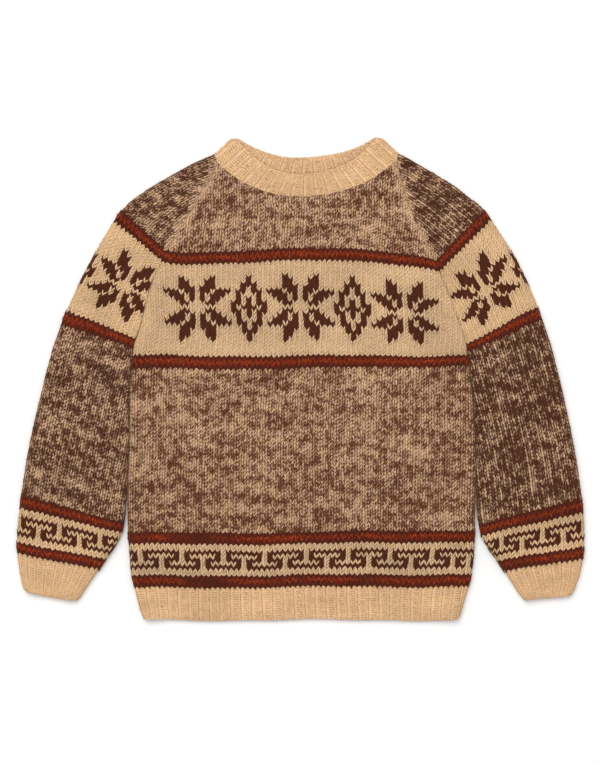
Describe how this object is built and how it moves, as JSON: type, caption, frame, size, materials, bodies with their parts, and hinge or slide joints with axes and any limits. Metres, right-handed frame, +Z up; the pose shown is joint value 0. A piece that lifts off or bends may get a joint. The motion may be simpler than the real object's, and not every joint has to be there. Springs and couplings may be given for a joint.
{
  "type": "fair isle sweater",
  "caption": "Crew-neck raglan sweater in marl wool with fair isle bands, a Greek-key border and ribbed edges, lying flat on its back.",
  "frame": {"origin": "centre of the bounding box, on the surface that the sweater lies on", "axes": "+Z up from the surface, +Y from the hem to the neck, +X towards the wearer's left sleeve"},
  "size_m": [0.834, 0.71, 0.012],
  "materials": {
    "body_wool": "stocking stitch in brown and cream marl wool, with cream bands, dark brown motifs and rust stripes",
    "sleeve_wool": "the same knit in a slightly darker marl",
    "rib_wool": "cream wool in one by one rib"
  },
  "bodies": {
    "root": {"front": "body_wool", "back": "body_wool", "right_sleeve": "sleeve_wool", "left_sleeve": "sleeve_wool", "front_welt": "rib_wool", "back_welt": "rib_wool", "right_cuff": "rib_wool", "left_cuff": "rib_wool", "neckband": "rib_wool"}
  },
  "joints": []
}
